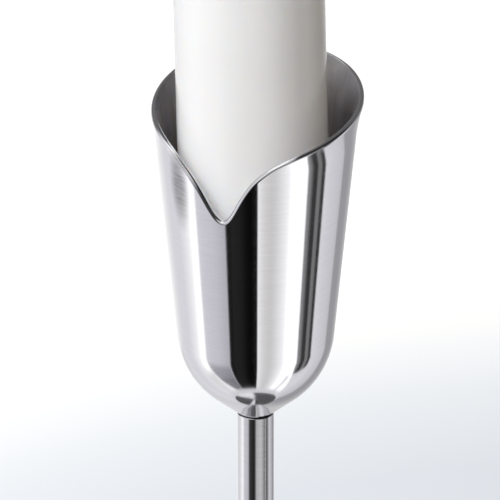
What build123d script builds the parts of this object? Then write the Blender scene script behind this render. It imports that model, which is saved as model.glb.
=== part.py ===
from build123d import *
import math
import os

# Altar candlestick in satin stainless steel: a petal-like cup with a notched, sloping rim on a slender
# round stem and a heavy disc base, with a pillar candle standing on a pricket inside the cup.
# Millimetres. +Z is up, the notch in the rim faces -Y, and the origin is the centre of the felt's underside.

# Base
FELT_RADIUS = 59.5
FELT_THICKNESS = 1.5
BASE_RADIUS = 62.5
BASE_THICKNESS = 12.0
BASE_TOP_BEVEL = 1.5
BASE_FOOT_BEVEL = 0.6
POCKET_RADIUS = 12.0
POCKET_DEPTH = 7.4

# Stem and the M6 rod that ties the whole stick together
STEM_RADIUS = 6.0
STEM_LENGTH = 190.0
STEM_BORE_RADIUS = 4.0
STEM_TOP_BEVEL = 0.5
STEM_FOOT_BEVEL = 0.3
ROD_RADIUS = 3.0
ROD_CLEARANCE_RADIUS = 3.2
ROD_TAIL = 0.6
ROD_GRIP_IN_POST = 14.0
BUSH_RADIUS = 3.95
BUSH_LENGTH_IN_STEM = 12.0

# Fasteners in the pocket under the base
WASHER_RADIUS = 9.0
WASHER_THICKNESS = 1.6
SPRING_WASHER_RADIUS = 5.9
SPRING_WASHER_THICKNESS = 1.6
SPRING_WASHER_GAP = 1.2
NUT_ACROSS_FLATS = 10.0
NUT_HEIGHT = 3.2
NUT_BEVEL = 0.5

# Cup: heights are above the top of the stem
CUP_WALL = 1.8
CUP_HOLE_RADIUS = 3.9
CUP_FOOT_RADIUS = 5.8
CUP_CONE_ANGLE = 40.0
CUP_BELLY_RADIUS = 30.7
CUP_WALL_LEAN = 5.65
CUP_RADIUS_AT_GAUGE = 28.65
CUP_GAUGE_HEIGHT = 58.8
CUP_FLARE_START = 99.6
CUP_FLARE_RADIUS = 56.8
CUP_BLANK_FLARE_ANGLE = 25.0
RIM_MEAN_HEIGHT = 110.0
RIM_TILT = 6.1
NOTCH_DEPTH = 22.8
NOTCH_MIDDLE_ANGLE = 0.8
NOTCH_LEFT_ANGLE = 9.0
NOTCH_RIGHT_ANGLE = 7.3
NOTCH_SHARPNESS = 0.555
RIM_ROUNDING = 0.8
RIM_POINTS_A_SIDE = 24
RIM_POINT_CROWDING = 1.8
RIM_TOOL_INNER_RADIUS = 12.0
RIM_TOOL_OUTER_RADIUS = 55.0
RIM_TOOL_HEIGHT = 60.0

# Saddle, post and pricket inside the cup
SADDLE_TOP = 8.0
SADDLE_UNDERSIDE = 2.0
SADDLE_SPIGOT_RADIUS = 3.8
SADDLE_SPIGOT_LENGTH = 8.0
POST_RADIUS = 6.0
POST_TOP = 40.0
POST_THREAD_DEPTH = 16.0
POST_BEVEL = 0.5
PRICKET_RADIUS = 3.5
PRICKET_SHANK = 5.0
PRICKET_HEIGHT = 38.0
PRICKET_TIP_RADIUS = 0.4
PRICKET_STUD_LENGTH = 10.0

# Candle plate
PLATE_RADIUS = 24.4
PLATE_THICKNESS = 1.2
PLATE_HOLE_RADIUS = 3.9
PLATE_BOSS_RADIUS = 7.5
PLATE_BOSS_HEIGHT = 3.0
PLATE_EDGE_ROUNDING = 0.4

# Candle and wick
CANDLE_RADIUS = 24.5
CANDLE_LENGTH = 200.0
CANDLE_SHOULDER = 2.0
CANDLE_LEAN = 1.35
CANDLE_LEAN_AZIMUTH = 201.0
CANDLE_FOOT_OFFSET = 0.35
CANDLE_FOOT_TRIM = 0.7
THORN_HOLE_RADIUS = 4.2
THORN_HOLE_DEPTH = 40.0
WICK_RADIUS = 1.0
WICK_EXPOSED = 12.0

# Levels worked out from the sizes above
BASE_BOTTOM = FELT_THICKNESS
BASE_TOP = BASE_BOTTOM + BASE_THICKNESS
POCKET_TOP = BASE_BOTTOM + POCKET_DEPTH
WASHER_BOTTOM = POCKET_TOP - WASHER_THICKNESS
SPRING_WASHER_BOTTOM = WASHER_BOTTOM - SPRING_WASHER_THICKNESS
NUT_BOTTOM = SPRING_WASHER_BOTTOM - NUT_HEIGHT
STEM_TOP = BASE_TOP + STEM_LENGTH
POST_BOTTOM = STEM_TOP + SADDLE_TOP
POST_SHOULDER = STEM_TOP + POST_TOP
PLATE_BOTTOM = POST_SHOULDER + PLATE_BOSS_HEIGHT
CANDLE_BOTTOM = PLATE_BOTTOM + PLATE_THICKNESS


def at_height(z, solid):
    return Pos(0, 0, z) * solid


def disc(radius, bottom, height):
    """A round disc or bar standing on the level called bottom."""
    return at_height(bottom, Cylinder(radius, height, align=(Align.CENTER, Align.CENTER, Align.MIN)))


def ring(outer, inner, bottom, height):
    return disc(outer, bottom, height) - disc(inner, bottom, height)


def turned(*corners):
    """A solid of revolution about Z from the corners (radius, height) of its half section."""
    outline = Polyline(*[(r, 0, z) for r, z in corners], close=True)
    return revolve(make_face(outline), Axis.Z)


def felt_pad():
    return disc(FELT_RADIUS, 0, FELT_THICKNESS)


def base_plate():
    """A heavy bevelled disc with a hole for the bush and a pocket underneath for the nut."""
    plate = turned(
        (0, BASE_BOTTOM),
        (BASE_RADIUS - BASE_FOOT_BEVEL, BASE_BOTTOM),
        (BASE_RADIUS, BASE_BOTTOM + BASE_FOOT_BEVEL),
        (BASE_RADIUS, BASE_TOP - BASE_TOP_BEVEL),
        (BASE_RADIUS - BASE_TOP_BEVEL, BASE_TOP),
        (0, BASE_TOP),
    )
    pocket = disc(POCKET_RADIUS, BASE_BOTTOM, POCKET_DEPTH)
    return plate - pocket - disc(STEM_BORE_RADIUS, BASE_BOTTOM, BASE_THICKNESS)


def base_bush():
    """A sleeve round the rod, half in the base and half in the stem, that keeps the stem central."""
    length = BASE_TOP - POCKET_TOP + BUSH_LENGTH_IN_STEM
    return ring(BUSH_RADIUS, ROD_CLEARANCE_RADIUS, POCKET_TOP, length)


def base_washer():
    return ring(WASHER_RADIUS, ROD_CLEARANCE_RADIUS, WASHER_BOTTOM, WASHER_THICKNESS)


def spring_washer():
    """A split ring, pressed flat."""
    closed = ring(SPRING_WASHER_RADIUS, ROD_CLEARANCE_RADIUS, SPRING_WASHER_BOTTOM, SPRING_WASHER_THICKNESS)
    slit = Box(2 * SPRING_WASHER_RADIUS, SPRING_WASHER_GAP, 4 * SPRING_WASHER_THICKNESS)
    return closed - Pos(SPRING_WASHER_RADIUS, 0, SPRING_WASHER_BOTTOM) * slit


def base_nut():
    """A thin M6 nut with its corners turned off at both ends."""
    hexagon = RegularPolygon(NUT_ACROSS_FLATS / 2, 6, major_radius=False)
    prism = at_height(NUT_BOTTOM, extrude(hexagon, NUT_HEIGHT))
    corner_radius = NUT_ACROSS_FLATS / 2 / math.cos(math.pi / 6)
    top = NUT_BOTTOM + NUT_HEIGHT
    turned_blank = turned(
        (0, NUT_BOTTOM),
        (corner_radius - NUT_BEVEL, NUT_BOTTOM),
        (corner_radius, NUT_BOTTOM + NUT_BEVEL / 2),
        (corner_radius, top - NUT_BEVEL / 2),
        (corner_radius - NUT_BEVEL, top),
        (0, top),
    )
    return (prism & turned_blank) - disc(ROD_RADIUS, NUT_BOTTOM, NUT_HEIGHT)


def tie_rod():
    """The M6 rod from the nut under the base up into the post, as a plain bar."""
    bottom = NUT_BOTTOM - ROD_TAIL
    return disc(ROD_RADIUS, bottom, POST_BOTTOM + ROD_GRIP_IN_POST - bottom)


def stem():
    """A thick tube with its ends lightly bevelled, which leaves a fine dark line under the cup."""
    return turned(
        (STEM_BORE_RADIUS, BASE_TOP),
        (STEM_RADIUS - STEM_FOOT_BEVEL, BASE_TOP),
        (STEM_RADIUS, BASE_TOP + STEM_FOOT_BEVEL),
        (STEM_RADIUS, STEM_TOP - STEM_TOP_BEVEL),
        (STEM_RADIUS - STEM_TOP_BEVEL, STEM_TOP),
        (STEM_BORE_RADIUS, STEM_TOP),
    )


def rim_height(angle):
    """Height of the rim above the stem, at an angle in radians from -Y towards +X."""
    from_middle = angle - math.radians(NOTCH_MIDDLE_ANGLE)
    flank = NOTCH_LEFT_ANGLE if from_middle < 0 else NOTCH_RIGHT_ANGLE
    notch = NOTCH_DEPTH / math.cosh(from_middle / math.radians(flank)) ** NOTCH_SHARPNESS
    return RIM_MEAN_HEIGHT - RIM_TILT * math.cos(angle) - notch


def rim_edge(radius):
    """The rim's line at one radius: a closed curve, with its points crowded towards the notch."""
    steps = range(1 - RIM_POINTS_A_SIDE, RIM_POINTS_A_SIDE + 1)
    shares = [math.copysign(abs(i / RIM_POINTS_A_SIDE) ** RIM_POINT_CROWDING, i) for i in steps]
    points = []
    for share in shares:
        angle = math.pi * share
        x = radius * math.sin(angle)
        y = -radius * math.cos(angle)
        points.append((x, y, STEM_TOP + rim_height(angle)))
    return Spline(*points, periodic=True)


def cup_blank():
    """The spun cup before its rim is cut: flat foot, cone, belly, leaning wall and flared lip."""
    cone = math.radians(CUP_CONE_ANGLE)
    lean = math.radians(CUP_WALL_LEAN)
    foot = Vector(CUP_FOOT_RADIUS, 0, STEM_TOP)
    lip_radius = CUP_RADIUS_AT_GAUGE + (CUP_FLARE_START - CUP_GAUGE_HEIGHT) * math.tan(lean)
    lip = Vector(lip_radius, 0, STEM_TOP + CUP_FLARE_START)
    # The cone and the wall, both carried on to where they would cross
    cone_way = Vector(math.cos(cone), 0, math.sin(cone))
    wall_way = Vector(math.sin(lean), 0, math.cos(lean))
    to_lip = lip - foot
    along_cone = (to_lip.X * wall_way.Z - to_lip.Z * wall_way.X) / (
        cone_way.X * wall_way.Z - cone_way.Z * wall_way.X
    )
    crossing = foot + cone_way * along_cone
    hole = Vector(CUP_HOLE_RADIUS, 0, STEM_TOP)
    floor_and_wall = Polyline(hole, foot) + FilletPolyline(foot, crossing, lip, radius=CUP_BELLY_RADIUS)
    flare_centre = lip + Vector(math.cos(lean), 0, -math.sin(lean)) * CUP_FLARE_RADIUS
    flare_end_lean = lean + math.radians(CUP_BLANK_FLARE_ANGLE)

    def on_flare(wall_lean):
        return flare_centre + Vector(-math.cos(wall_lean), 0, math.sin(wall_lean)) * CUP_FLARE_RADIUS

    flare = ThreePointArc(lip, on_flare((lean + flare_end_lean) / 2), on_flare(flare_end_lean))
    outside = Wire((floor_and_wall + flare).edges())
    section = Face(outside.offset_2d(CUP_WALL, side=Side.RIGHT, closed=True))
    return revolve(section, Axis.Z)


def petal_cup():
    """The cup, with its rim cut to slope up to the back and dip into a notch at the front."""
    cut = Face.make_surface_from_curves(rim_edge(RIM_TOOL_INNER_RADIUS), rim_edge(RIM_TOOL_OUTER_RADIUS))
    cup = cup_blank() - extrude(cut, amount=RIM_TOOL_HEIGHT, dir=(0, 0, 1))
    rim = cup.faces().sort_by(Axis.Z)[-1]
    return fillet(rim.edges(), RIM_ROUNDING)


def cup_saddle():
    """A turned cone that fills the bottom of the cup and spreads the rod's pull over it."""
    cone = math.radians(CUP_CONE_ANGLE)
    inner_foot_radius = CUP_FOOT_RADIUS - CUP_WALL / math.sin(cone)

    def cone_radius(height):
        return inner_foot_radius + height / math.tan(cone)

    return turned(
        (ROD_CLEARANCE_RADIUS, STEM_TOP - SADDLE_SPIGOT_LENGTH),
        (SADDLE_SPIGOT_RADIUS, STEM_TOP - SADDLE_SPIGOT_LENGTH),
        (SADDLE_SPIGOT_RADIUS, STEM_TOP + SADDLE_UNDERSIDE),
        (cone_radius(SADDLE_UNDERSIDE), STEM_TOP + SADDLE_UNDERSIDE),
        (cone_radius(SADDLE_TOP), POST_BOTTOM),
        (ROD_CLEARANCE_RADIUS, POST_BOTTOM),
    )


def pricket_post():
    """A round bar tapped at both ends: the rod screws in from below and the pricket from above."""
    bar = turned(
        (0, POST_BOTTOM),
        (POST_RADIUS - POST_BEVEL, POST_BOTTOM),
        (POST_RADIUS, POST_BOTTOM + POST_BEVEL),
        (POST_RADIUS, POST_SHOULDER - POST_BEVEL),
        (POST_RADIUS - POST_BEVEL, POST_SHOULDER),
        (0, POST_SHOULDER),
    )
    rod_hole = disc(ROD_RADIUS, POST_BOTTOM, POST_THREAD_DEPTH)
    stud_hole = disc(ROD_RADIUS, POST_SHOULDER - PRICKET_STUD_LENGTH, PRICKET_STUD_LENGTH)
    return bar - rod_hole - stud_hole


def pricket():
    """The spike that holds the candle upright, with the stud that screws into the post."""
    return turned(
        (0, POST_SHOULDER - PRICKET_STUD_LENGTH),
        (ROD_RADIUS, POST_SHOULDER - PRICKET_STUD_LENGTH),
        (ROD_RADIUS, POST_SHOULDER),
        (PRICKET_RADIUS, POST_SHOULDER),
        (PRICKET_RADIUS, POST_SHOULDER + PRICKET_SHANK),
        (PRICKET_TIP_RADIUS, POST_SHOULDER + PRICKET_HEIGHT),
        (0, POST_SHOULDER + PRICKET_HEIGHT),
    )


def candle_plate():
    """The loose disc that the candle stands on, with a boss that drops over the pricket."""
    top = PLATE_BOTTOM + PLATE_THICKNESS
    plate = turned(
        (PLATE_HOLE_RADIUS, POST_SHOULDER),
        (PLATE_BOSS_RADIUS, POST_SHOULDER),
        (PLATE_BOSS_RADIUS, PLATE_BOTTOM),
        (PLATE_RADIUS, PLATE_BOTTOM),
        (PLATE_RADIUS, top),
        (PLATE_HOLE_RADIUS, top),
    )
    edge = plate.edges().filter_by(GeomType.CIRCLE).sort_by(SortBy.RADIUS)[-2:]
    return fillet(edge, PLATE_EDGE_ROUNDING)


def leaning(solid):
    """Tips a solid made upright round Z, from the plate up, into the candle's own slight lean."""
    away = math.radians(CANDLE_LEAN_AZIMUTH)
    foot_x = -CANDLE_FOOT_OFFSET * math.cos(away)
    foot_y = -CANDLE_FOOT_OFFSET * math.sin(away)
    upright = Rot(0, 0, -CANDLE_LEAN_AZIMUTH) * solid
    tipped = Rot(0, 0, CANDLE_LEAN_AZIMUTH) * Rot(0, CANDLE_LEAN, 0) * upright
    return Pos(foot_x, foot_y, CANDLE_BOTTOM) * tipped


def candle():
    """A pillar candle with bevelled shoulders that leans a little. Its foot is cut flat, and it has an
    upright hole for the pricket and a bore full of wick."""
    pillar = turned(
        (0, -CANDLE_FOOT_TRIM),
        (CANDLE_RADIUS - CANDLE_SHOULDER - CANDLE_FOOT_TRIM, -CANDLE_FOOT_TRIM),
        (CANDLE_RADIUS, CANDLE_SHOULDER),
        (CANDLE_RADIUS, CANDLE_LENGTH - CANDLE_SHOULDER),
        (CANDLE_RADIUS - CANDLE_SHOULDER, CANDLE_LENGTH),
        (0, CANDLE_LENGTH),
    )
    trimmed_off = disc(2 * CANDLE_RADIUS, CANDLE_BOTTOM - CANDLE_SHOULDER, CANDLE_SHOULDER)
    thorn_hole = disc(THORN_HOLE_RADIUS, CANDLE_BOTTOM, THORN_HOLE_DEPTH)
    return leaning(pillar) - trimmed_off - thorn_hole - wick()


def wick():
    """A round braid from the end of the pricket's hole up to its free end above the wax."""
    braid = leaning(disc(WICK_RADIUS, 0, CANDLE_LENGTH + WICK_EXPOSED))
    return braid - disc(2 * WICK_RADIUS, CANDLE_BOTTOM - WICK_RADIUS, THORN_HOLE_DEPTH + WICK_RADIUS)


parts = {
    "felt_pad": felt_pad(),
    "base_plate": base_plate(),
    "base_bush": base_bush(),
    "base_washer": base_washer(),
    "spring_washer": spring_washer(),
    "base_nut": base_nut(),
    "tie_rod": tie_rod(),
    "stem": stem(),
    "petal_cup": petal_cup(),
    "cup_saddle": cup_saddle(),
    "pricket_post": pricket_post(),
    "pricket": pricket(),
    "candle_plate": candle_plate(),
    "candle": candle(),
    "wick": wick(),
}

os.makedirs("parts", exist_ok=True)
for name, solid in parts.items():
    export_step(solid, f"parts/{name}.step")
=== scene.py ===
import math

import bmesh
import bpy
import numpy as np
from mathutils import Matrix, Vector

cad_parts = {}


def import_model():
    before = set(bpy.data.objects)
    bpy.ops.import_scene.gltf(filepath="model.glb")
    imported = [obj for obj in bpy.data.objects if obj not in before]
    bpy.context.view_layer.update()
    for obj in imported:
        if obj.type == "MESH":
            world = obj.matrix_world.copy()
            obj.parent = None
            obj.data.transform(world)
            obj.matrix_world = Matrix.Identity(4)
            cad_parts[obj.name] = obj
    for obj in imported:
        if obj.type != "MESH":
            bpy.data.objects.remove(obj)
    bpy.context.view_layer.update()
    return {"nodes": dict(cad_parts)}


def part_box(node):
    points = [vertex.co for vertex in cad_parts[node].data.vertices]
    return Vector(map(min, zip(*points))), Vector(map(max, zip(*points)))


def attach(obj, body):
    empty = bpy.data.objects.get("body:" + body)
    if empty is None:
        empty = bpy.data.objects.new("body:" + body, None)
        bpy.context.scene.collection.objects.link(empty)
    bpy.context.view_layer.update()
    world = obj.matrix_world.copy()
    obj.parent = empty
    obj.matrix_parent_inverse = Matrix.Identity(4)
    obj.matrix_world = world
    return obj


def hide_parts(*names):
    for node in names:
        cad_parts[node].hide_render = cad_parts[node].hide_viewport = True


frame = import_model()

# Altar candlestick: a spun steel cup on a slender stem, with a pillar candle. Metres, in the CAD frame:
# +Z up, the notch in the cup's rim faces -Y, and the origin is on the surface that the stick stands on.

MM = 0.001

# -------------------------------- sizes, from the frame where it has them
STEM_LOW, STEM_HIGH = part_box("stem")
STEM_TOP = STEM_HIGH.z
STEM_FOOT = STEM_LOW.z
STEM_RADIUS = STEM_HIGH.x
STEM_BORE = 4.0 * MM
BASE_LOW, BASE_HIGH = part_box("base_plate")
BUSH_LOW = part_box("base_bush")[0]
CANDLE_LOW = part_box("candle")[0]
WICK_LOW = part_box("wick")[0]
PLATE_LOW, PLATE_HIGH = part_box("candle_plate")
FELT_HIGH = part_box("felt_pad")[1]
SADDLE_LOW, SADDLE_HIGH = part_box("cup_saddle")
POST_LOW, POST_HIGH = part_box("pricket_post")
PRICKET_LOW, PRICKET_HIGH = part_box("pricket")
ROD_LOW, ROD_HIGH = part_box("tie_rod")

# The cup's section: a cone at the foot, a round belly, a wall that leans out and a lip that flares
CUP_WALL = 1.8 * MM
CUP_HOLE = 3.9 * MM
CUP_FOOT = 5.8 * MM
CUP_CONE = math.radians(40.0)
CUP_BELLY = 30.7 * MM
CUP_LEAN = math.radians(5.65)
CUP_GAUGE_RADIUS = 28.65 * MM
CUP_GAUGE_HEIGHT = 58.8 * MM
CUP_FLARE_START = 99.6 * MM
CUP_FLARE = 56.8 * MM
CONE_WAY = Vector((math.cos(CUP_CONE), math.sin(CUP_CONE)))
# Its rim slopes up to the back and dips into the notch
RIM_MEAN = 110.0 * MM
RIM_TILT = 6.1 * MM
NOTCH_DEPTH = 22.8 * MM
NOTCH_MIDDLE = math.radians(0.8)
NOTCH_LEFT = math.radians(9.0)
NOTCH_RIGHT = math.radians(7.3)
NOTCH_SHARPNESS = 0.555
RIM_OUTER_ROUNDING = 1.10 * MM
RIM_INNER_ROUNDING = 0.40 * MM

# The candle leans a little, about a foot that is a little off the middle
CANDLE_LEAN = math.radians(1.35)
CANDLE_LEAN_AZIMUTH = math.radians(201.0)
CANDLE_FOOT_OFFSET = 0.35 * MM
CANDLE_RADIUS = 24.5 * MM
CANDLE_LENGTH = 200.0 * MM
WICK_RADIUS = 1.0 * MM

# How far edges are rounded
CRISP = 0.15 * MM
BROKEN = 0.2 * MM
EASED = 0.3 * MM
SOFT = 0.5 * MM

# -------------------------------- the view
CAMERA_AZIMUTH = 21.09
CAMERA_ELEVATION = 25.0
CAMERA_DISTANCE = 4.0
FRAME_WIDTH = 162.3 * MM
SENSOR_WIDTH = 36.0
AIM_ABOVE_STEM = 57.8 * MM
AIM_LEFT_OF_STEM = 1.8 * MM
turned = math.radians(CAMERA_AZIMUTH)
TO_CAMERA = Vector((math.sin(turned), -math.cos(turned), 0))
RIGHT = Vector((math.cos(turned), math.sin(turned), 0))


def way_to(degrees, elevation):
    """The direction from the object to a place so many degrees to the right of the camera, at that
    elevation."""
    side, height = math.radians(degrees), math.radians(elevation)
    level = TO_CAMERA * math.cos(side) + RIGHT * math.sin(side)
    return level * math.cos(height) + Vector((0, 0, math.sin(height)))


# -------------------------------- node helpers
def set_inputs(node, values):
    """Links sockets to a node's inputs, and sets fixed values on the inputs themselves."""
    for name, value in values.items():
        if isinstance(value, bpy.types.NodeSocket):
            node.id_data.links.new(value, node.inputs[name])
        else:
            node.inputs[name].default_value = value


def math_node(tree, operation, first, second=None):
    """A sum on sockets or numbers."""
    made = tree.nodes.new("ShaderNodeMath")
    made.operation = operation
    for socket, value in zip(made.inputs, (first, second)):
        if value is None:
            continue
        if isinstance(value, (int, float)):
            socket.default_value = value
        else:
            tree.links.new(value, socket)
    return made.outputs[0]


def product(tree, first, *factors):
    """Sockets and numbers multiplied together."""
    for factor in factors:
        first = math_node(tree, "MULTIPLY", first, factor)
    return first


def vector_node(tree, operation, vector, other=None):
    """A sum on a vector socket and a fixed vector."""
    made = tree.nodes.new("ShaderNodeVectorMath")
    made.operation = operation
    tree.links.new(vector, made.inputs[0])
    if other is not None:
        made.inputs[1].default_value = other
    gives_number = operation in ("LENGTH", "DISTANCE", "DOT_PRODUCT")
    return made.outputs["Value" if gives_number else "Vector"]


def split(tree, vector):
    """The x, y and z of a vector."""
    parts = tree.nodes.new("ShaderNodeSeparateXYZ")
    tree.links.new(vector, parts.inputs[0])
    return parts.outputs


def stretched(tree, vector, scale, rotation=(0.0, 0.0, 0.0)):
    """Coordinates turned and then scaled."""
    made = tree.nodes.new("ShaderNodeMapping")
    set_inputs(made, {"Vector": vector, "Rotation": rotation, "Scale": scale})
    return made.outputs[0]


def mix_colours(tree, share, first, second, blend="MIX"):
    """Two colours mixed by a share. Each is a socket or fixed, and a fixed colour is (red, green, blue)."""
    made = tree.nodes.new("ShaderNodeMix")
    made.data_type = "RGBA"
    made.blend_type = blend
    for socket, value in ((made.inputs[0], share), (made.inputs[6], first), (made.inputs[7], second)):
        if isinstance(value, bpy.types.NodeSocket):
            tree.links.new(value, socket)
        elif isinstance(value, tuple):
            socket.default_value = (*value, 1)
        else:
            socket.default_value = value
    return made.outputs[2]


def map_range(tree, value, low, high, to_low, to_high, smooth=False):
    """A value that goes from to_low at low to to_high at high, and stays level outside them."""
    made = tree.nodes.new("ShaderNodeMapRange")
    made.interpolation_type = "SMOOTHSTEP" if smooth else "LINEAR"
    ends = {"From Min": low, "From Max": high, "To Min": to_low, "To Max": to_high}
    set_inputs(made, {"Value": value, **ends})
    return made.outputs["Result"]


def step_up(tree, value, low, high, smooth=False):
    """0 up to low and 1 from high on."""
    return map_range(tree, value, low, high, 0.0, 1.0, smooth)


def step_down(tree, value, low, high, smooth=False):
    """1 up to low and 0 from high on."""
    return map_range(tree, value, low, high, 1.0, 0.0, smooth)


def band(tree, value, start, end):
    """1 between two soft edges and 0 outside them. Each edge is (low, high)."""
    return product(tree, step_up(tree, value, *start), step_down(tree, value, *end))


def ramp(tree, value, stops):
    """A colour ramp with (place, colour) stops."""
    made = tree.nodes.new("ShaderNodeValToRGB")
    elements = made.color_ramp.elements
    while len(elements) < len(stops):
        elements.new(0.5)
    for element, (place, colour) in zip(elements, stops):
        element.position = place
        element.color = (*colour, 1)
    tree.links.new(value, made.inputs[0])
    return made.outputs[0]


def noise(tree, vector, scale, detail, roughness):
    """Smooth noise about 0.5."""
    made = tree.nodes.new("ShaderNodeTexNoise")
    set_inputs(made, {"Vector": vector, "Scale": scale, "Detail": detail, "Roughness": roughness})
    return made.outputs["Fac"]


def bump(tree, height, strength, distance, normal=None):
    """A bumped normal, on top of another where one is given."""
    made = tree.nodes.new("ShaderNodeBump")
    set_inputs(made, {"Height": height, "Strength": strength, "Distance": distance})
    if normal is not None:
        set_inputs(made, {"Normal": normal})
    return made.outputs["Normal"]


def grey(level, blue=None):
    """A grey colour, with a blue level of its own where that is given."""
    return (level, level, level if blue is None else blue)


def linear(level):
    """The light level of an 8-bit display value."""
    share = level / 255
    return share / 12.92 if share <= 0.04045 else ((share + 0.055) / 1.055) ** 2.4


def new_material(name):
    """A material, its node tree, its shader and where each point is on the object."""
    made = bpy.data.materials.new(name)
    made.use_nodes = True
    tree = made.node_tree
    tree.nodes.clear()
    out = tree.nodes.new("ShaderNodeOutputMaterial")
    shader = tree.nodes.new("ShaderNodeBsdfPrincipled")
    tree.links.new(shader.outputs[0], out.inputs[0])
    place = tree.nodes.new("ShaderNodeTexCoord").outputs["Object"]
    return made, tree, shader, place


# -------------------------------- materials
def turned_coordinates(tree, place, around, across):
    """Coordinates for marks that run round the Z axis: slow round it, quick along the section."""
    x, y, z = split(tree, place)
    radius = math_node(tree, "SQRT", math_node(tree, "ADD", product(tree, x, x), product(tree, y, y)))
    along = product(tree, math_node(tree, "ADD", radius, z), across)
    joined = tree.nodes.new("ShaderNodeCombineXYZ")
    set_inputs(joined, {"X": product(tree, x, around), "Y": product(tree, y, around), "Z": along})
    return joined.outputs[0]


def dark_patch_share(tree, place, middle):
    """How much a place round the middle point is darkened and roughened: a soft upright patch, broken up
    into short slanting strokes."""
    across, tall = 4.6 * MM, 16.0 * MM
    stroke_width, slant = 0.30 * MM, math.radians(44.0)
    offset = vector_node(tree, "SUBTRACT", place, middle)
    scaled = vector_node(tree, "MULTIPLY", offset, (1 / across, 1 / across, 1 / tall))
    patch = step_down(tree, vector_node(tree, "LENGTH", scaled), 0.25, 1.25, True)
    slanting = stretched(tree, place, (120.0, 120.0, 1 / stroke_width), (0.0, slant, 0.0))
    strokes = noise(tree, slanting, 1.0, 3.0, 0.6)
    return product(tree, patch, map_range(tree, strokes, 0.32, 0.66, 0.55, 1.0))


def with_painted_joint_shade(tree, shade, place, edge):
    """Steel with a dark line of painted shade just under the edge at that height, standing for the shade in
    the joint.
    """
    painted_line = step_up(tree, split(tree, place)["Z"], edge - 0.40 * MM, edge - 0.29 * MM)
    return mix_colours(tree, painted_line, shade, grey(0.05, 0.055))


def with_streaks(tree, shade, place, strength):
    """Steel with upright strokes, each darker by up to the strength."""
    upright = stretched(tree, place, (330.0, 330.0, 9.0))
    strokes = map_range(tree, noise(tree, upright, 1.0, 3.0, 0.6), 0.3, 0.7, 1.0 - strength, 1.0)
    joined = tree.nodes.new("ShaderNodeCombineColor")
    for socket in joined.inputs:
        tree.links.new(strokes, socket)
    return mix_colours(tree, 1.0, shade, joined.outputs[0], "MULTIPLY")


def brushed_steel(name, colour, roughness, anisotropy, line_depth, joint=None, patch_middle=None, streaks=0.0):
    """Steel with fine marks round its axis, faint smears and a slight unevenness from spinning. joint is the
    height of an edge with a dark line of painted shade just under it; patch_middle is the middle of a
    darker, rougher patch; streaks is how strongly upright strokes show."""
    made, tree, shader, place = new_material(name)
    lines = noise(tree, turned_coordinates(tree, place, 90.0, 4200.0), 1.0, 3.0, 0.65)
    bands = noise(tree, turned_coordinates(tree, place, 14.0, 700.0), 1.0, 2.0, 0.5)
    smears = noise(tree, place, 38.0, 3.0, 0.55)
    dark = tuple(c * 0.96 for c in colour)
    light = tuple(min(1.0, c * 1.03) for c in colour)
    shade = ramp(tree, lines, [(0.32, dark), (0.68, light)])
    smear_shade = ramp(tree, smears, [(0.35, grey(0.97, 0.975)), (0.7, grey(1))])
    shade = mix_colours(tree, 1.0, shade, smear_shade, "MULTIPLY")
    rough = map_range(tree, lines, 0.3, 0.7, roughness * 0.88, roughness * 1.12)
    smear_rough = map_range(tree, smears, 0.45, 0.75, 0.0, roughness * 0.25, True)
    rough = math_node(tree, "ADD", rough, smear_rough)
    rough = math_node(tree, "ADD", rough, map_range(tree, bands, 0.3, 0.7, -0.01, 0.01))
    # Painted shade: a dark line just under the edge where the stem meets the cup
    if joint is not None:
        shade = with_painted_joint_shade(tree, shade, place, joint)
    if streaks:
        shade = with_streaks(tree, shade, place, streaks)
    if patch_middle is not None:
        darkened = dark_patch_share(tree, place, patch_middle)
        shade = mix_colours(tree, darkened, shade, grey(0.23, 0.235))
        rough = math_node(tree, "ADD", rough, product(tree, darkened, 0.12))
    tangent = tree.nodes.new("ShaderNodeTangent")
    tangent.direction_type = "RADIAL"
    tangent.axis = "Z"
    scratched = bump(tree, lines, 0.35, line_depth)
    set_inputs(shader, {
        "Base Color": shade,
        "Metallic": 1.0,
        "Roughness": rough,
        "Normal": bump(tree, smears, 0.2, line_depth * 4, scratched),
        "Tangent": tangent.outputs[0],
        "Anisotropic": anisotropy,
        "Anisotropic Rotation": 0.25,
    })
    return made


def plated_steel(name, colour):
    """Zinc-plated fasteners: a fine grain and clouds of colour in the plating."""
    made, tree, shader, place = new_material(name)
    grain = noise(tree, place, 2200.0, 3.0, 0.6)
    clouds = noise(tree, place, 180.0, 2.0, 0.5)
    warm = (colour[0], colour[1] * 0.97, colour[2] * 0.88)
    cool = (colour[0] * 0.93, colour[1] * 0.97, colour[2])
    set_inputs(shader, {
        "Base Color": ramp(tree, clouds, [(0.35, warm), (0.65, cool)]),
        "Metallic": 1.0,
        "Roughness": map_range(tree, grain, 0.3, 0.7, 0.26, 0.42),
        "Normal": bump(tree, grain, 0.25, 0.01 * MM),
    })
    return made


def wax_material():
    """Cast candle wax: light goes in a little, and the skin has faint clouds and a soft shine."""
    made, tree, shader, place = new_material("candle_wax")
    clouds = noise(tree, place, 22.0, 3.0, 0.5)
    skin = noise(tree, place, 420.0, 4.0, 0.6)
    swell = noise(tree, place, 60.0, 2.0, 0.5)
    grained = bump(tree, skin, 0.12, 0.03 * MM)
    set_inputs(shader, {
        "Base Color": ramp(tree, clouds, [(0.3, (0.896, 0.891, 0.893)), (0.7, (0.920, 0.917, 0.921))]),
        "Roughness": map_range(tree, skin, 0.3, 0.7, 0.36, 0.5),
        "Normal": bump(tree, swell, 0.25, 0.2 * MM, grained),
        "Subsurface Weight": 1.0,
        "Subsurface Radius": (1.0, 0.88, 0.76),
        "Subsurface Scale": 12.0 * MM,
        "Specular IOR Level": 0.25,
        "Coat Weight": 0.9,
        "Coat Roughness": 0.07,
    })
    return made


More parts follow.
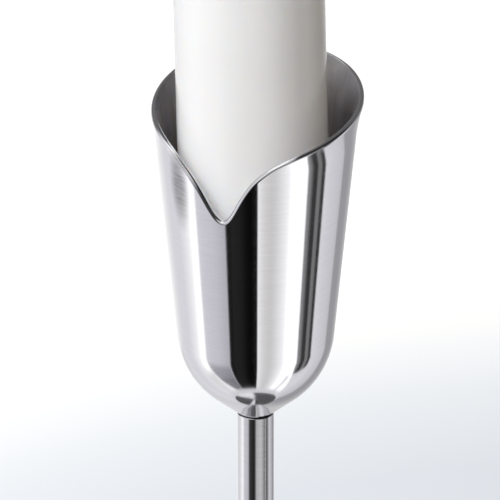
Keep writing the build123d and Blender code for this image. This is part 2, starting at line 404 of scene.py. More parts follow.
def cotton_material():
    """Waxed cotton braid."""
    made, tree, shader, place = new_material("wick_cotton")
    fibres = noise(tree, place, 2600.0, 4.0, 0.7)
    set_inputs(shader, {
        "Base Color": ramp(tree, fibres, [(0.3, (0.62, 0.57, 0.46)), (0.7, (0.86, 0.82, 0.72))]),
        "Roughness": map_range(tree, fibres, 0.3, 0.7, 0.6, 0.9),
        "Normal": bump(tree, fibres, 0.5, 0.08 * MM),
        "Sheen Weight": 0.3,
    })
    return made


def felt_material():
    """Charcoal wool felt."""
    made, tree, shader, place = new_material("pad_felt")
    fibres = noise(tree, place, 1500.0, 6.0, 0.75)
    tufts = noise(tree, place, 260.0, 3.0, 0.6)
    mixed = math_node(tree, "ADD", product(tree, fibres, 0.6), product(tree, tufts, 0.4))
    set_inputs(shader, {
        "Base Color": ramp(tree, mixed, [(0.35, grey(0.010, 0.012)), (0.65, grey(0.045, 0.050))]),
        "Roughness": map_range(tree, fibres, 0.3, 0.7, 0.85, 1.0),
        "Normal": bump(tree, mixed, 0.8, 0.25 * MM),
        "Sheen Weight": 0.6,
    })
    return made


# The cup's wall is darker and rougher in one patch, under the left flank of the notch
PATCH_SIDE = -51.0
PATCH_RADIUS = 31.0 * MM
PATCH_HEIGHT = STEM_TOP + 90.5 * MM
PATCH_MIDDLE = way_to(PATCH_SIDE, 0.0) * PATCH_RADIUS + Vector((0, 0, PATCH_HEIGHT))

CUP_STEEL = brushed_steel("cup_steel", (0.80, 0.797, 0.818), 0.085, 0.80, 0.004 * MM, patch_middle=PATCH_MIDDLE)
INSIDE_STEEL = brushed_steel("cup_inside_steel", (0.73, 0.715, 0.73), 0.36, 0.60, 0.010 * MM, streaks=0.22)
BAR_STEEL = brushed_steel("stem_steel", (0.79, 0.786, 0.81), 0.10, 0.70, 0.005 * MM, joint=STEM_TOP)
BASE_STEEL = brushed_steel("base_steel", (0.78, 0.78, 0.79), 0.11, 0.70, 0.008 * MM)
TURNED_STEEL = brushed_steel("turned_steel", (0.66, 0.66, 0.67), 0.260, 0.60, 0.030 * MM)
PLATED = plated_steel("zinc_plating", (0.70, 0.71, 0.70))
WAX = wax_material()
COTTON = cotton_material()
FELT = felt_material()


# -------------------------------- mesh helpers
ON_AXIS = 1e-7


def rounded_outline(corners, closed, steps=6):
    """Points and outward normals of a half section, from corners (radius, height, rounding). The corners
    go round with the material on the left, so the outward side is on the right."""
    count = len(corners)
    points, normals = [], []
    for i, (r, z, rounding) in enumerate(corners):
        here = Vector((r, z))
        before = Vector(corners[i - 1][:2]) if closed or i > 0 else None
        after = Vector(corners[(i + 1) % count][:2]) if closed or i < count - 1 else None
        if before is None or after is None:
            way = (after - here) if before is None else (here - before)
            way.normalize()
            points.append(here)
            normals.append(Vector((way.y, -way.x)))
            continue
        way_in = (here - before).normalized()
        way_out = (after - here).normalized()
        turn = math.atan2(way_in.cross(way_out), way_in.dot(way_out))
        reach = rounding * math.tan(abs(turn) / 2)
        start = here - way_in * reach
        side = math.copysign(1.0, turn)
        centre = start + Vector((-way_in.y, way_in.x)) * rounding * side
        outward = Vector((way_in.y, -way_in.x))
        for step in range(steps + 1):
            angle = turn * step / steps
            spun = Vector((
                outward.x * math.cos(angle) - outward.y * math.sin(angle),
                outward.x * math.sin(angle) + outward.y * math.cos(angle),
            ))
            points.append(centre + spun * rounding * side)
            normals.append(spun)
    return points, normals


def make_piece(name, vertices, faces, normals, material, body, slot, *replaced):
    """A mesh piece that rides on a body and stands for CAD nodes. normals is None where the faces give
    them."""
    mesh = bpy.data.meshes.new(name)
    mesh.from_pydata([tuple(v) for v in vertices], [], faces)
    mesh.validate()
    mesh.shade_smooth()
    if normals is not None:
        mesh.normals_split_custom_set_from_vertices([tuple(n) for n in normals])
    mesh.materials.append(material)
    piece = bpy.data.objects.new(name, mesh)
    bpy.context.scene.collection.objects.link(piece)
    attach(piece, body)
    if replaced:
        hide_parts(*replaced)
    return piece


def ring_faces(low, high, count):
    """The faces between two rings of vertices, given by their first vertices."""
    nexts = [(i + 1) % count for i in range(count)]
    return [[low + i, low + j, high + j, high + i] for i, j in enumerate(nexts)]


def tube_faces(rings, count):
    """The faces of a tube through rings of vertices, with both ends capped."""
    faces = []
    for low, high in zip(rings, rings[1:]):
        faces += ring_faces(low, high, count)
    faces.append([rings[0] + i for i in reversed(range(count))])
    faces.append([rings[-1] + i for i in range(count)])
    return faces


def turned_piece(name, corners, closed, material, body, slot, *replaced, around, steps=6):
    """A lathe-turned piece from its half section, with exact normals."""
    points, slopes = rounded_outline(corners, closed, steps)
    vertices, normals, rows = [], [], []
    for point, slope in zip(points, slopes):
        if point.x < ON_AXIS:
            rows.append([len(vertices)] * around)
            vertices.append((0, 0, point.y))
            normals.append((0, 0, math.copysign(1, slope.y)))
            continue
        rows.append(list(range(len(vertices), len(vertices) + around)))
        for i in range(around):
            angle = 2 * math.pi * i / around
            vertices.append((point.x * math.cos(angle), point.x * math.sin(angle), point.y))
            normals.append((slope.x * math.cos(angle), slope.x * math.sin(angle), slope.y))
    faces = []
    last = len(rows) if closed else len(rows) - 1
    for k in range(last):
        low, high = rows[k], rows[(k + 1) % len(rows)]
        for i in range(around):
            j = (i + 1) % around
            corner = [low[i], low[j], high[j], high[i]]
            corner = [c for n, c in enumerate(corner) if c not in corner[:n]]
            if len(corner) > 2:
                faces.append(corner)
    return make_piece(name, vertices, faces, normals, material, body, slot, *replaced)


# -------------------------------- the cup
def cup_section():
    """The cup's outer half section from the foot's corner up: radius, height above the stem, lean and
    length along it, closely spaced."""
    wall_way = Vector((math.sin(CUP_LEAN), math.cos(CUP_LEAN)))
    foot = Vector((CUP_FOOT, 0))
    lip_radius = CUP_GAUGE_RADIUS + (CUP_FLARE_START - CUP_GAUGE_HEIGHT) * math.tan(CUP_LEAN)
    lip = Vector((lip_radius, CUP_FLARE_START))
    along = (lip - foot).cross(wall_way) / CONE_WAY.cross(wall_way)
    crossing = foot + CONE_WAY * along
    steep = math.pi / 2 - CUP_CONE
    reach = CUP_BELLY * math.tan((steep - CUP_LEAN) / 2)
    cone_end = crossing - CONE_WAY * reach
    centre = cone_end + Vector((-CONE_WAY.y, CONE_WAY.x)) * CUP_BELLY
    flare_centre = lip + Vector((math.cos(CUP_LEAN), -math.sin(CUP_LEAN))) * CUP_FLARE
    rows = [(*(foot + (cone_end - foot) * t), steep) for t in np.linspace(0, 1, 20)]
    for lean in np.linspace(steep, CUP_LEAN, 120)[1:]:
        rows.append((*(centre + Vector((math.cos(lean), -math.sin(lean))) * CUP_BELLY), lean))
    wall_start = crossing + wall_way * reach
    rows += [(*(wall_start + (lip - wall_start) * t), CUP_LEAN) for t in np.linspace(0, 1, 60)[1:]]
    for lean in np.linspace(CUP_LEAN, CUP_LEAN + math.radians(25), 60)[1:]:
        rows.append((*(flare_centre + Vector((-math.cos(lean), math.sin(lean))) * CUP_FLARE), lean))
    table = np.array(rows)
    steps = np.hypot(np.diff(table[:, 0]), np.diff(table[:, 1]))
    return np.column_stack([table, np.concatenate([[0], np.cumsum(steps)])])


SECTION = cup_section()


def rim_length(angle):
    """How far along the section the rim is, at angles from the front."""
    from_middle = angle - NOTCH_MIDDLE
    flank = np.where(from_middle < 0, NOTCH_LEFT, NOTCH_RIGHT)
    notch = NOTCH_DEPTH / np.cosh(from_middle / flank) ** NOTCH_SHARPNESS
    height = RIM_MEAN - RIM_TILT * np.cos(angle) - notch
    return np.interp(height, SECTION[:, 1], SECTION[:, 3])


def across_and_up(angle, across, up):
    """Vectors at angles from the front, with a level part away from the axis and an upright part."""
    return np.stack([across * np.sin(angle), -across * np.cos(angle), up + 0 * angle], -1)


def on_cup(angle, length, depth):
    """Points at angles from the front and lengths along the section, at a depth into the wall, with the
    outward direction and the one up the wall there."""
    radius, height, lean = (np.interp(length, SECTION[:, 3], SECTION[:, k]) for k in range(3))
    normal = across_and_up(angle, np.cos(lean), -np.sin(lean))
    up = across_and_up(angle, np.sin(lean), np.cos(lean))
    return across_and_up(angle, radius, STEM_TOP + height) - normal * depth, normal, up


def cup_foot_outline():
    """The section's foot: down the inside of the cone, across the floor, down the hole and out under the
    foot."""
    inner_foot = CUP_FOOT - CUP_WALL * math.tan(CUP_CONE / 2)
    inside = Vector((inner_foot, CUP_WALL)) + CONE_WAY * 0.8 * MM
    outside = Vector((CUP_FOOT, 0)) + CONE_WAY * 0.6 * MM
    corners = [
        (*inside, 0),
        (inner_foot, CUP_WALL, EASED),
        (CUP_HOLE, CUP_WALL, BROKEN),
        (CUP_HOLE, 0, BROKEN),
        (CUP_FOOT, 0, BROKEN),
        (*outside, 0),
    ]
    return rounded_outline(corners, False, 4)


def cup_piece():
    """The spun shell. Its columns crowd round the notch, and lean over near the rim so that the rounded
    edge has one width all along."""
    half_count, crowding, lean_length = 170, 0.78, 3 * MM
    share = np.arange(-half_count, half_count) / half_count
    angle = math.pi * share - crowding * np.sin(math.pi * share)
    rim = rim_length(angle)
    rim_radius = np.interp(rim, SECTION[:, 3], SECTION[:, 0])
    small = 1e-4
    rise = (rim_length(angle + small) - rim_length(angle - small)) / (2 * small * rim_radius)
    stretch = np.sqrt(1 + rise**2)
    rows, row_normals = [], []

    def rim_row(facing, rounding, centre_depth):
        """A row on a rounded edge, square to the edge. facing runs from 0, out of the wall's outside,
        through 90, off the edge, to 180, out of its inside."""
        turned = math.radians(facing)
        back = rounding * (1 - math.sin(turned))
        at = angle + back * rise / (rim_radius * stretch)
        depth = centre_depth - rounding * math.cos(turned)
        point, normal, up = on_cup(at, rim - back / stretch, depth)
        round_way = np.stack([np.cos(at), np.sin(at), 0 * at], -1)
        edge_way = (up - round_way * rise[:, None]) / stretch[:, None]
        rows.append(point)
        row_normals.append(normal * math.cos(turned) + edge_way * math.sin(turned))

    def wall_row(share_up, depth, side):
        """A row on the wall. side is 1 outside and -1 inside."""
        rounding = RIM_OUTER_ROUNDING if side > 0 else RIM_INNER_ROUNDING
        top = rim - rounding / stretch
        length = top * share_up
        fade = np.exp(-(top - length) / lean_length)
        at = angle + rounding * rise / (rim_radius * stretch) * fade
        point, normal, _ = on_cup(at, length, depth)
        rows.append(point)
        row_normals.append(normal * side)

    # The first rows and the top one belong to the foot and to the rim
    levels = np.linspace(0, 1, 84)[2:-1]
    for share_up in levels:
        wall_row(share_up, 0, 1)
    for facing in range(0, 91, 15):
        rim_row(facing, RIM_OUTER_ROUNDING, RIM_OUTER_ROUNDING)
    for facing in range(90, 181, 15):
        rim_row(facing, RIM_INNER_ROUNDING, CUP_WALL - RIM_INNER_ROUNDING)
    first_inside = len(rows) - 1
    for share_up in levels[::-1]:
        wall_row(share_up, CUP_WALL, -1)
    # The inside goes on round part of the rounding between the cone and the floor
    past_inside = len(rows) + 4
    for point, slope in zip(*cup_foot_outline()):
        rows.append(across_and_up(angle, point.x, STEM_TOP + point.y))
        row_normals.append(across_and_up(angle, slope.x, slope.y))
    count = len(angle)
    starts = [k * count for k in range(len(rows))]
    faces = []
    for low, high in zip(starts, starts[1:] + starts[:1]):
        faces += ring_faces(low, high, count)
    vertices, normals = np.concatenate(rows), np.concatenate(row_normals)
    piece = make_piece("cup_shell", vertices, faces, normals, CUP_STEEL, "stand", "satin_steel", "petal_cup")
    piece.data.materials.append(INSIDE_STEEL)
    for face in piece.data.polygons:
        if first_inside <= face.index // count < past_inside:
            face.material_index = 1
    return piece


cup_piece()


# -------------------------------- turned pieces
def stem_piece():
    """The drawn tube, with a bevel at its top."""
    bevel, edge = 0.5 * MM, 0.12 * MM
    return turned_piece(
        "stem_tube",
        [
            (STEM_BORE, STEM_FOOT, edge),
            (STEM_RADIUS - bevel / 2, STEM_FOOT, edge),
            (STEM_RADIUS, STEM_FOOT + bevel / 2, edge),
            (STEM_RADIUS, STEM_TOP - bevel, edge),
            (STEM_RADIUS - bevel, STEM_TOP, edge),
            (STEM_BORE, STEM_TOP, edge),
        ],
        True, BAR_STEEL, "stand", "satin_steel", "stem", around=96,
    )


def base_piece():
    """The heavy disc, with a pocket underneath for the nut."""
    radius = BASE_HIGH.x
    low, high = BASE_LOW.z, BASE_HIGH.z
    pocket_radius, pocket_top = 12.0 * MM, BUSH_LOW.z
    return turned_piece(
        "base_disc",
        [
            (STEM_BORE, high, CRISP),
            (STEM_BORE, pocket_top, CRISP),
            (pocket_radius, pocket_top, EASED),
            (pocket_radius, low, EASED),
            (radius, low, 0.8 * MM),
            (radius, high, 1.8 * MM),
        ],
        True, BASE_STEEL, "stand", "satin_steel", "base_plate", around=192, steps=8,
    )


def felt_piece():
    """The pad under the base."""
    radius = FELT_HIGH.x
    return turned_piece(
        "felt_disc",
        [(0, 0, 0), (radius, 0, EASED), (radius, FELT_HIGH.z, BROKEN), (0, FELT_HIGH.z, 0)],
        False, FELT, "stand", "felt", "felt_pad", around=160,
    )


def leaned(x, y, along, onto_plate=0.0):
    """A point given across and along the candle's own axis, from the middle of its foot. onto_plate, from
    0 to 1, slides it along the axis, so that at 1 a point of the foot is on the plate."""
    away = Vector((math.cos(CANDLE_LEAN_AZIMUTH), math.sin(CANDLE_LEAN_AZIMUTH), 0))
    axis = away * math.sin(CANDLE_LEAN) + Vector((0, 0, math.cos(CANDLE_LEAN)))
    out = x * away.x + y * away.y
    flat = Vector((x, y, 0)) - away * out
    tipped = away * math.cos(CANDLE_LEAN) - Vector((0, 0, math.sin(CANDLE_LEAN)))
    along += out * math.tan(CANDLE_LEAN) * onto_plate
    foot = Vector((0, 0, CANDLE_LOW.z)) - away * CANDLE_FOOT_OFFSET
    return foot + flat + tipped * out + axis * along


def candle_piece():
    """The pillar, with a shallow dish round the wick. Its foot is flat on the plate and has an upright
    hole for the pricket."""
    top = CANDLE_LENGTH
    hole, hole_depth = 4.2 * MM, 40.0 * MM
    flat = 2 * hole
    dish = 9.0 * MM
    wick_hole_edge, wick_hole_top, wick_hole_foot = top - 1.2 * MM, top - 2.2 * MM, top - 5.0 * MM
    foot_blend = 12.0 * MM
    around, smallest_ring = 160, 1e-6
    upright = rounded_outline(
        [(0, hole_depth, 0), (hole, hole_depth, 0.8 * MM), (hole, 0, 0.6 * MM), (flat, 0, 0)], False
    )
    leaning = rounded_outline(
        [
            (flat, 0, 0),
            (CANDLE_RADIUS, 0, 2.0 * MM),
            (CANDLE_RADIUS, top, 2.4 * MM),
            (dish, top, 6.0 * MM),
            (WICK_RADIUS + 0.4 * MM, wick_hole_edge, SOFT),
            (WICK_RADIUS, wick_hole_top, BROKEN),
            (WICK_RADIUS, wick_hole_foot, BROKEN),
            (0, wick_hole_foot, 0),
        ],
        False,
        8,
    )
    vertices, normals = [], []
    rows = [(point, slope, False) for point, slope in zip(*upright)]
    rows += [(point, slope, True) for point, slope in zip(*leaning)]
    for point, slope, leans in rows:
        onto_plate = max(0.0, 1.0 - point.y / foot_blend)
        for i in range(around):
            angle = 2 * math.pi * i / around
            x, y = math.cos(angle), math.sin(angle)
            across = max(point.x, smallest_ring)
            if leans:
                place = leaned(across * x, across * y, point.y, onto_plate)
                facing = leaned(slope.x * x, slope.x * y, slope.y) - leaned(0, 0, 0)
            else:
                place = Vector((across * x, across * y, CANDLE_LOW.z + point.y))
                facing = Vector((slope.x * x, slope.x * y, slope.y))
            vertices.append(place)
            normals.append(facing)
    faces = tube_faces([k * around for k in range(len(rows))], around)
    return make_piece("candle_wax", vertices, faces, normals, WAX, "candle", "wax", "candle")


def plate_piece():
    """The loose plate under the candle, with a boss round its hole."""
    radius = PLATE_HIGH.x
    top, low = PLATE_HIGH.z, PLATE_LOW.z
    underside = top - 1.2 * MM
    hole, boss = 3.9 * MM, 7.5 * MM
    return turned_piece(
        "candle_dish",
        [
            (hole, top, 0.25 * MM),
            (hole, low, 0.25 * MM),
            (boss, low, EASED),
            (boss, underside, SOFT),
            (radius, underside, 0.45 * MM),
            (radius, top, 0.45 * MM),
        ],
        True, BASE_STEEL, "plate", "satin_steel", "candle_plate", around=160,
    )


def saddle_piece():
    """The cone that fills the foot of the cup, with a spigot into the stem."""
    low, high = SADDLE_LOW.z, SADDLE_HIGH.z
    bore, spigot = 3.2 * MM, 3.8 * MM
    rise = 2.0 * MM
    underside = STEM_TOP + rise
    cone_start = CUP_FOOT - CUP_WALL / math.sin(CUP_CONE) + rise / math.tan(CUP_CONE)
    return turned_piece(
        "saddle_cone",
        [
            (bore, high, BROKEN),
            (bore, low, CRISP),
            (spigot, low, CRISP),
            (spigot, underside, BROKEN),
            (cone_start, underside, BROKEN),
            (SADDLE_HIGH.x, high, BROKEN),
        ],
        True, TURNED_STEEL, "stand", "turned_steel", "cup_saddle", around=96,
    )


def post_piece():
    """The bar that clamps the saddle, with a threaded hole at each end."""
    low, high = POST_LOW.z, POST_HIGH.z
    radius, thread = POST_HIGH.x, 3.0 * MM
    rod_hole_top = low + 16.0 * MM
    stud_hole_foot = high - 10.0 * MM
    return turned_piece(
        "pricket_bar",
        [
            (0, rod_hole_top, 0),
            (thread, rod_hole_top, BROKEN),
            (thread, low, EASED),
            (radius, low, SOFT),
            (radius, high, SOFT),
            (thread, high, EASED),
            (thread, stud_hole_foot, BROKEN),
            (0, stud_hole_foot, 0),
        ],
        False, TURNED_STEEL, "stand", "turned_steel", "pricket_post", around=96,
    )


def pricket_piece():
    """The spike, on a stud that screws into the post."""
    low, high = PRICKET_LOW.z, PRICKET_HIGH.z
    shoulder = POST_HIGH.z
    shank, stud, point = PRICKET_HIGH.x, 2.95 * MM, 0.45 * MM
    return turned_piece(
        "pricket_spike",
        [
            (0, low, 0),
            (stud, low, SOFT),
            (stud, shoulder, BROKEN),
            (shank, shoulder, EASED),
            (shank, shoulder + 5.0 * MM, 8.0 * MM),
            (point, high, 0.35 * MM),
            (0, high, 0),
        ],
        False, TURNED_STEEL, "stand", "turned_steel", "pricket", around=64,
    )


stem_piece()
base_piece()
felt_piece()
candle_piece()
plate_piece()
saddle_piece()
post_piece()
pricket_piece()


# -------------------------------- rod and wick
def rod_piece():
    """The tie rod with its M6 thread cut at both ends and a plain shank between them."""
    radius, root, pitch = ROD_HIGH.x, 2.45 * MM, 1.0 * MM
    lower_thread, upper_thread = 22.0 * MM, 24.0 * MM
    around, rows = 32, 8
    low, high = ROD_LOW.z, ROD_HIGH.z
    vertices, rings = [], []

    def ring(height, radius_at):
        """A ring of vertices with a radius for each share of the way round."""
        rings.append(len(vertices))
        for i in range(around):
            angle = 2 * math.pi * i / around
            r = radius_at(i / around)
            vertices.append((r * math.cos(angle), r * math.sin(angle), height))

    def thread_radius(height):
        """The thread has flat crests and roots, and runs out at the rod's ends."""
        def at(share):
            phase = ((height - low) / pitch - share) % 1.0
            crest = min(1.0, max(0.0, 1.6 * abs(2 * phase - 1) - 0.3))
            ends = min(1.0, (height - low) / MM, (high - height) / MM)
            return root + (radius - root) * crest * max(0.0, ends)
        return at

    def threaded(start, end):
        for k in range(int(round((end - start) / pitch * rows)) + 1):
            height = start + k * pitch / rows
            ring(height, thread_radius(height))

    threaded(low, low + lower_thread)
    shank_low, shank_high = low + lower_thread + 0.6 * MM, high - upper_thread - 0.6 * MM
    ring(shank_low, lambda share: radius)
    ring(shank_high, lambda share: radius)
    threaded(high - upper_thread, high)
    faces = tube_faces(rings, around)
    piece = make_piece("threaded_rod", vertices, faces, None, PLATED, "stand", "zinc_steel", "tie_rod")
    piece.data.set_sharp_from_angle(angle=math.radians(40))
    return piece


def wick_piece():
    """Three cotton strands laid round each other, as thick together as the wick."""
    radius = WICK_RADIUS
    strand = 0.52 * radius
    offset = radius - strand
    low, high = WICK_LOW.z - CANDLE_LOW.z, CANDLE_LENGTH + 12.0 * MM
    lay = 3.6 * MM
    around = 10
    steps = int((high - low) / lay * 14)
    vertices, faces = [], []
    for k in range(3):
        first = len(vertices)
        for step in range(steps + 1):
            height = low + (high - low) * step / steps
            turn = 2 * math.pi * (k / 3 + (height - low) / lay)
            taper = 1.0 if step < steps else 0.55
            for i in range(around):
                angle = 2 * math.pi * i / around
                vertices.append(leaned(
                    offset * math.cos(turn) + strand * taper * math.cos(angle),
                    offset * math.sin(turn) + strand * taper * math.sin(angle),
                    height,
                ))
        faces += tube_faces([first + step * around for step in range(steps + 1)], around)
    return make_piece("wick_braid", vertices, faces, None, COTTON, "candle", "cotton", "wick")


rod_piece()
wick_piece()


# -------------------------------- CAD nodes that stay
def finish_node(name, material):
    """Gives a CAD node its material."""
    mesh = frame["nodes"][name].data
    mesh.materials.clear()
    mesh.materials.append(material)


for kept in ("base_washer", "spring_washer", "base_nut"):
    finish_node(kept, PLATED)
finish_node("base_bush", TURNED_STEEL)


# -------------------------------- stage: floor, camera, light
def floor_material():
    """Painted shade: bluish grey round a place beside the stick, fading to white further off. It is clear
    from below.
    """
    made, tree, shader, place = new_material("pale_floor")
    middle, near, far = RIGHT * 0.17, 0.386, 0.560
    # Painted shade on the floor, darkest beside the stick and lighter further off
    painted_shade = step_up(tree, vector_node(tree, "DISTANCE", place, middle), near, far)
    colour = ramp(tree, painted_shade, [
        (0.0, (0.545, 0.574, 0.617)), (0.34, (0.612, 0.640, 0.673)), (0.58, (0.700, 0.716, 0.736)),
        (0.72, grey(0.77)), (1.0, grey(0.90)),
    ])
    set_inputs(shader, {"Base Color": colour, "Roughness": 1.0, "Specular IOR Level": 0.0})
    see_through = tree.nodes.new("ShaderNodeBsdfTransparent")
    mixer = tree.nodes.new("ShaderNodeMixShader")
    tree.links.new(tree.nodes.new("ShaderNodeNewGeometry").outputs["Backfacing"], mixer.inputs[0])
    tree.links.new(shader.outputs[0], mixer.inputs[1])
    tree.links.new(see_through.outputs[0], mixer.inputs[2])
    output = next(n for n in tree.nodes if n.type == "OUTPUT_MATERIAL")
    tree.links.new(mixer.outputs[0], output.inputs[0])
    return made


def floor():
    """A wide round table top, left out of mirrored and soft light."""
    mesh = bpy.data.meshes.new("floor")
    form = bmesh.new()
    bmesh.ops.create_circle(form, cap_ends=True, segments=96, radius=30.0)
    form.to_mesh(mesh)
    form.free()
    mesh.materials.append(floor_material())
    made = bpy.data.objects.new("floor", mesh)
    bpy.context.scene.collection.objects.link(made)
    made.visible_glossy = False
    made.visible_diffuse = False


def camera():
    """A long lens, from above and from the right of the notch."""
    data = bpy.data.cameras.new("camera")
    data.sensor_width = SENSOR_WIDTH
    data.lens = SENSOR_WIDTH * CAMERA_DISTANCE / FRAME_WIDTH
    data.clip_start = 0.1
    data.clip_end = 60.0
    made = bpy.data.objects.new("camera", data)
    aim = Vector((0, 0, STEM_TOP + AIM_ABOVE_STEM)) - RIGHT * AIM_LEFT_OF_STEM
    back = way_to(0.0, CAMERA_ELEVATION)
    made.location = aim + back * CAMERA_DISTANCE
    made.rotation_mode = "QUATERNION"
    made.rotation_quaternion = (-back).to_track_quat("-Z", "Y")
    bpy.context.scene.collection.objects.link(made)
    bpy.context.scene.camera = made


# What stands round the table and shows in the steel: (degrees to the right of the camera, display level,
# warmth of its colour from -1 to 1). The cup shows the lower row, the stem mostly the upper one.
# FAULT, left in: these levels were thinned from scratch programs' printouts of the photo's pixels, which the
# task rules out. Cards set by hand should take their place.
DARK_CARDS_END = 93.6
LOWER_LEFT = [
    (-180, 238, 0), (-160, 234, 0), (-144, 221, 0), (-134, 212, -0.6), (-116, 213, -0.6), (-106, 226, -0.3),
    (-97, 242, 0), (-91, 254, 0), (-82, 254, 0), (-80.8, 208, -0.6), (-70, 204, -0.8), (-58, 200, -0.8),
    (-49, 193, -0.8), (-40.6, 184, -0.8), (-38.6, 36, -0.4), (-36, 20, 0), (-31, 34, 0), (-20, 29, 0),
    (-12, 14, 0), (-6, 8, 0), (-2, 16, 0), (0, 20, 0),
]
LOWER_RIGHT = [
    (0, 18, 0), (2.4, 20, 0), (3.2, 246, 0), (5, 229, 0.2), (9, 216, 0.3), (14, 206, 0.4), (20, 200, 0.4),
    (25, 204, 0.2), (30, 217, 0), (36, 232, 0), (41, 245, 0), (46, 255, 0), (66, 255, 0), (67, 132, 0),
    (70.5, 126, 0), (72.8, 100, 0), (75, 55, 0), (80.6, 46, 0), (81.6, 120, 0), (86.8, 112, 0),
    (87.7, 46, 0), (92.4, 46, 0), (DARK_CARDS_END, 214, -0.3), (104, 205, -0.5), (122, 194, -0.5),
    (127.5, 186, -0.5), (129.5, 150, -0.5), (145, 148, -0.5), (158, 164, -0.3), (168, 180, 0),
    (176, 196, 0), (180, 238, 0),
]
UPPER_LEFT = [
    (-180, 238, 0), (-158, 212, 0), (-128, 205, -0.3), (-106, 226, 0), (-92, 248, 0), (-84, 240, 0),
    (-78, 214, -0.3), (-69, 196, -0.6), (-50, 188, -0.8), (-45, 160, -0.6), (-40, 92, 0), (-36, 60, 0),
    (-30, 52, 0), (-12, 36, 0), (-6, 44, 0), (0, 104, 0),
]
UPPER_RIGHT = [
    (0, 104, 0), (3, 150, 0), (8, 172, 0), (14, 179, 0), (27, 187, 0), (36, 183, 0), (44, 166, 0),
    (50, 138, 0), (57, 114, 0), (66, 106, 0), (76, 102, 0), (82, 122, 0), (88, 172, 0), (94, 196, 0),
    (103, 194, -0.3), (112, 178, -0.4), (124, 144, -0.4), (138, 146, -0.4), (161, 200, 0), (180, 238, 0),
]
STEEL_SHINE = 0.80


def card_ramp(tree, degrees, cards):
    """The colours of a row of cards. Cards that come out white are brighter still, cool ones are bluer and
    warm ones redder."""
    low, high = cards[0][0], cards[-1][0]
    stops = []
    for place, level, warmth in cards:
        light = linear(level) / STEEL_SHINE * (1.12 if level > 250 else 1.0)
        if warmth < 0:
            colour = (light, light * (1 + 0.012 * warmth), light * (1 - 0.075 * warmth))
        else:
            colour = (light * (1 + 0.04 * warmth), light, light * (1 - 0.04 * warmth))
        stops.append(((place - low) / (high - low), colour))
    return ramp(tree, step_up(tree, degrees, low, high), stops)


def directions(tree):
    """Where a ray goes: its share towards the camera's side, degrees to the right of it, and elevation."""
    way = tree.nodes.new("ShaderNodeTexCoord").outputs["Generated"]
    axes = (TO_CAMERA, RIGHT, (0, 0, 1))
    front, right, up = (vector_node(tree, "DOT_PRODUCT", way, axis) for axis in axes)
    degrees = product(tree, math_node(tree, "ARCTAN2", right, front), math.degrees(1))
    elevation = product(tree, math_node(tree, "ARCSINE", up), math.degrees(1))
    return front, degrees, elevation


def card_rows(tree, front, degrees, elevation):
    """The two rows of cards. They meet a little higher towards the back."""
    on_right = math_node(tree, "GREATER_THAN", degrees, 0.0)
    lower, upper = (
        mix_colours(tree, on_right, card_ramp(tree, degrees, left), card_ramp(tree, degrees, right))
        for left, right in ((LOWER_LEFT, LOWER_RIGHT), (UPPER_LEFT, UPPER_RIGHT))
    )
    meeting = math_node(tree, "ADD", product(tree, front, -3.2), -27.6)
    above_meeting = math_node(tree, "SUBTRACT", elevation, meeting)
    return mix_colours(tree, step_up(tree, above_meeting, -0.8, 0.8, True), lower, upper)


def with_dim_card(tree, seen, degrees, elevation):
    """The bluish card on the left has a darker lower part."""
    dimming = ramp(tree, step_up(tree, elevation, -60.0, -30.0), [
        (0.0, grey(0.36, 0.37)), (0.16, grey(0.38, 0.39)), (0.24, grey(0.50, 0.51)), (0.5, grey(0.54, 0.55)),
        (0.64, grey(0.64, 0.65)), (0.72, grey(0.80)), (0.84, grey(0.96)), (0.92, grey(1.0)),
    ])
    on_card = band(tree, degrees, (-81.0, -79.5), (-42.0, -40.5))
    return mix_colours(tree, on_card, seen, dimming, "MULTIPLY")


def with_narrow_cards(tree, seen, degrees, elevation):
    """The dark cards on the right and the bluish one get narrower towards the table. A pale card comes
    over them from beyond, and the bright cards reach over their near edges."""
    def squared_below(start, share):
        below = math_node(tree, "MAXIMUM", math_node(tree, "SUBTRACT", start, elevation), 0.0)
        return product(tree, below, below, share)

    narrowing = math_node(tree, "MINIMUM", squared_below(-38.0, 0.18), 34.0)
    beyond = math_node(tree, "SUBTRACT", degrees, math_node(tree, "SUBTRACT", DARK_CARDS_END, narrowing))
    end = (DARK_CARDS_END + 0.4, DARK_CARDS_END + 3.4)
    covering = product(tree, step_up(tree, beyond, -0.6, 0.6), step_down(tree, degrees, *end))
    pale = linear(212) / STEEL_SHINE
    seen = mix_colours(tree, covering, seen, grey(pale, pale * 1.03))
    reach = squared_below(-34.0, 0.05)
    for near, far, share, level in ((66.0, 67.2, 0.36, 262), (-81.5, -80.3, 0.30, 236)):
        pulled = math_node(tree, "SUBTRACT", degrees, product(tree, reach, share))
        start = step_up(tree, degrees, near - 1.2, near)
        covering = product(tree, start, step_down(tree, pulled, near, far))
        seen = mix_colours(tree, covering, seen, grey(linear(level) / STEEL_SHINE))
    return seen


def with_grey_left(tree, seen, degrees, elevation):
    """The cards on the left are greyer low down, and those behind it just under the upper row."""
    beside = product(tree, step_down(tree, elevation, -52.0, -40.0, True),
                     band(tree, degrees, (-112.0, -98.0), (-82.0, -80.5)))
    seen = mix_colours(tree, beside, seen, grey(0.87, 0.875))
    behind = product(tree, step_down(tree, degrees, -150.0, -138.0),
                     step_down(tree, elevation, -31.0, -28.5))
    return mix_colours(tree, behind, seen, grey(0.76, 0.78))


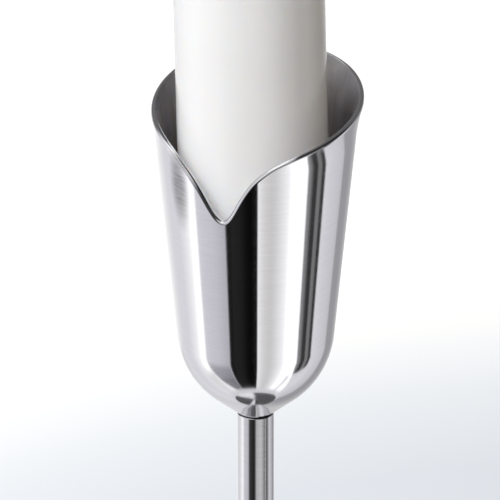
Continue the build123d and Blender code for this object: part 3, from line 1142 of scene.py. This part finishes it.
def with_room(tree, seen, degrees, elevation):
    """The table top straight below. Above the table, a wall that is pale on the left and dark elsewhere,
    a screen in front, a dim ceiling and a light box on the left under it."""
    seen = mix_colours(tree, step_down(tree, elevation, -74.0, -68.0, True), seen, grey(0.78, 0.80))
    wall = ramp(tree, step_up(tree, degrees, -180.0, 180.0), [
        (0.0, (0.16, 0.157, 0.16)), (0.17, grey(0.17)), (0.215, grey(0.80, 0.81)), (0.42, grey(0.80)),
        (0.455, grey(0.40, 0.405)), (0.485, grey(0.10, 0.103)), (0.52, grey(0.03, 0.032)),
        (0.70, grey(0.02, 0.022)), (0.76, grey(0.02, 0.022)), (0.82, (0.12, 0.118, 0.118)),
        (1.0, (0.16, 0.157, 0.16)),
    ])
    screen = product(tree, step_up(tree, elevation, 19.0, 27.0, True),
                     band(tree, degrees, (-30.0, -24.0), (14.0, 24.0)))
    wall = mix_colours(tree, screen, wall, grey(0.80))
    seen = mix_colours(tree, step_up(tree, elevation, -4.0, 6.0, True), seen, wall)
    seen = mix_colours(tree, step_up(tree, elevation, 50.0, 62.0, True), seen, grey(0.12, 0.122))
    light_box = product(tree, step_up(tree, elevation, 42.0, 48.0),
                        band(tree, degrees, (-104.0, -98.0), (-16.0, -6.0)))
    return mix_colours(tree, light_box, seen, grey(1.3))


def soft_fill(tree, degrees, elevation):
    """The plain soft light for matt surfaces, mostly from above. From the right it is a little weaker, and
    warm."""
    fill = ramp(tree, step_up(tree, elevation, -90.0, 90.0), [
        (0.0, grey(0.22, 0.217)), (0.72, grey(0.22, 0.217)), (0.83, grey(1.40)), (1.0, grey(1.40)),
    ])
    from_right = product(tree, step_up(tree, degrees, 5.0, 50.0, True),
                         step_down(tree, elevation, 62.0, 80.0, True))
    return mix_colours(tree, from_right, fill, (0.92, 0.84, 0.74), "MULTIPLY")


def world():
    """A studio for shiny surfaces to mirror, a soft fill for matt ones, and white for the camera."""
    made = bpy.data.worlds.new("studio")
    bpy.context.scene.world = made
    made.use_nodes = True
    tree = made.node_tree
    tree.nodes.clear()
    front, degrees, elevation = directions(tree)
    studio = card_rows(tree, front, degrees, elevation)
    for with_more in (with_dim_card, with_narrow_cards, with_grey_left, with_room):
        studio = with_more(tree, studio, degrees, elevation)
    # What is mirrored twice or more has lost some of its contrast
    paths = tree.nodes.new("ShaderNodeLightPath").outputs
    twice = map_range(tree, paths["Glossy Depth"], 1.5, 2.5, 0.0, 0.72)
    softened = product(tree, twice, step_down(tree, elevation, -44.0, -34.0))
    studio = mix_colours(tree, softened, studio, grey(0.38, 0.385))
    straight = math_node(tree, "LESS_THAN", paths["Diffuse Depth"], 0.5)
    mirrored = product(tree, paths["Is Glossy Ray"], straight)
    lit = mix_colours(tree, mirrored, soft_fill(tree, degrees, elevation), studio)
    background = tree.nodes.new("ShaderNodeBackground")
    tree.links.new(mix_colours(tree, paths["Is Camera Ray"], lit, grey(1.0)), background.inputs[0])
    out = tree.nodes.new("ShaderNodeOutputWorld")
    tree.links.new(background.outputs[0], out.inputs[0])


def soft_box(name, degrees, elevation, power, colour, distance=1.8, size=1.1):
    """A square area light aimed at the stem's top, for matt surfaces only. degrees is how far it is to the
    right of the camera."""
    data = bpy.data.lights.new(name, "AREA")
    data.shape = "SQUARE"
    data.size = size
    data.energy = power
    data.color = colour
    made = bpy.data.objects.new(name, data)
    way = way_to(degrees, elevation)
    made.location = Vector((0, 0, STEM_TOP)) + way * distance
    made.rotation_mode = "QUATERNION"
    made.rotation_quaternion = way.to_track_quat("Z", "Y")
    made.visible_glossy = False
    made.visible_camera = False
    bpy.context.scene.collection.objects.link(made)


floor()
camera()
world()
soft_box("key_light", degrees=-41, elevation=56, power=40.0, colour=(0.99, 0.995, 1.0))
soft_box("left_light", degrees=-112, elevation=30, power=5.0, colour=(1.0, 1.0, 1.0))
bpy.context.scene.view_settings.view_transform = "Standard"
